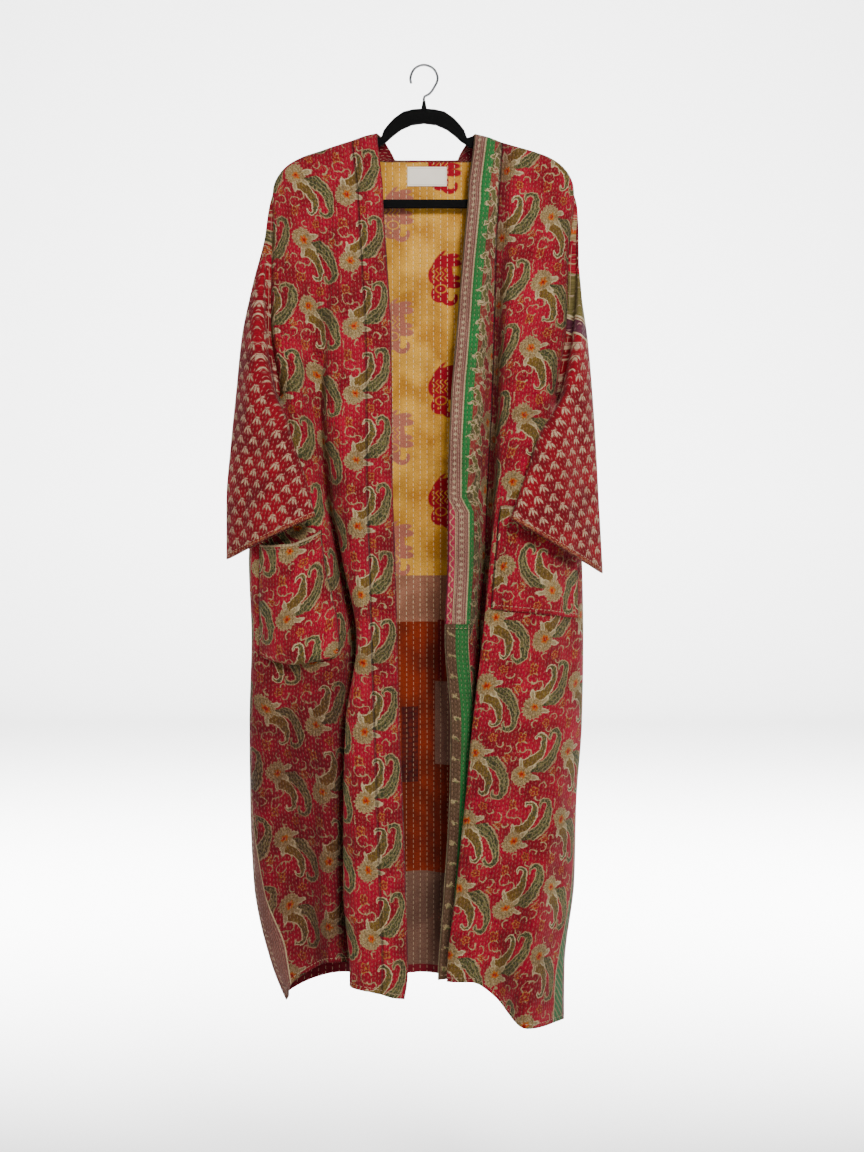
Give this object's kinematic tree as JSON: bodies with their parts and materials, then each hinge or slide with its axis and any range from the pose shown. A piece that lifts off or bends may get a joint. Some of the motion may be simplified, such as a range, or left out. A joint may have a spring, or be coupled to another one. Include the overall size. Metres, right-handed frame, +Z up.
{
  "type": "long kimono robe on a hanger",
  "caption": "Long open kimono robe of quilted printed cotton with wide sleeves and patch pockets, hanging on a flat hanger with a hook.",
  "frame": {"origin": "underside of the hanger hook's crown, where a rail carries it", "axes": "+Z up, -Y towards the robe's open front, -X towards the wearer's right; y = 0 is the hanger's middle plane"},
  "size_m": [0.5434, 0.1577, 1.3785],
  "materials": {
    "quilted_cotton": "matte",
    "border_cotton": "matte",
    "sleeve_cotton": "matte",
    "label_cloth": "matte",
    "hanger_black": "flocked",
    "hook_steel": "polished"
  },
  "bodies": {
    "root": {"back": "quilted_cotton", "front_right": "quilted_cotton", "front_left": "quilted_cotton", "pocket_right": "quilted_cotton", "pocket_left": "quilted_cotton", "band_right": "quilted_cotton", "band_left_upper": "border_cotton", "band_left_lower": "border_cotton", "band_back_neck": "quilted_cotton", "sleeve_right": "sleeve_cotton", "sleeve_left": "sleeve_cotton", "neck_label": "label_cloth", "hanger": "hanger_black", "hook_collar": "hanger_black", "hanger_hook": "hook_steel"}
  },
  "joints": []
}
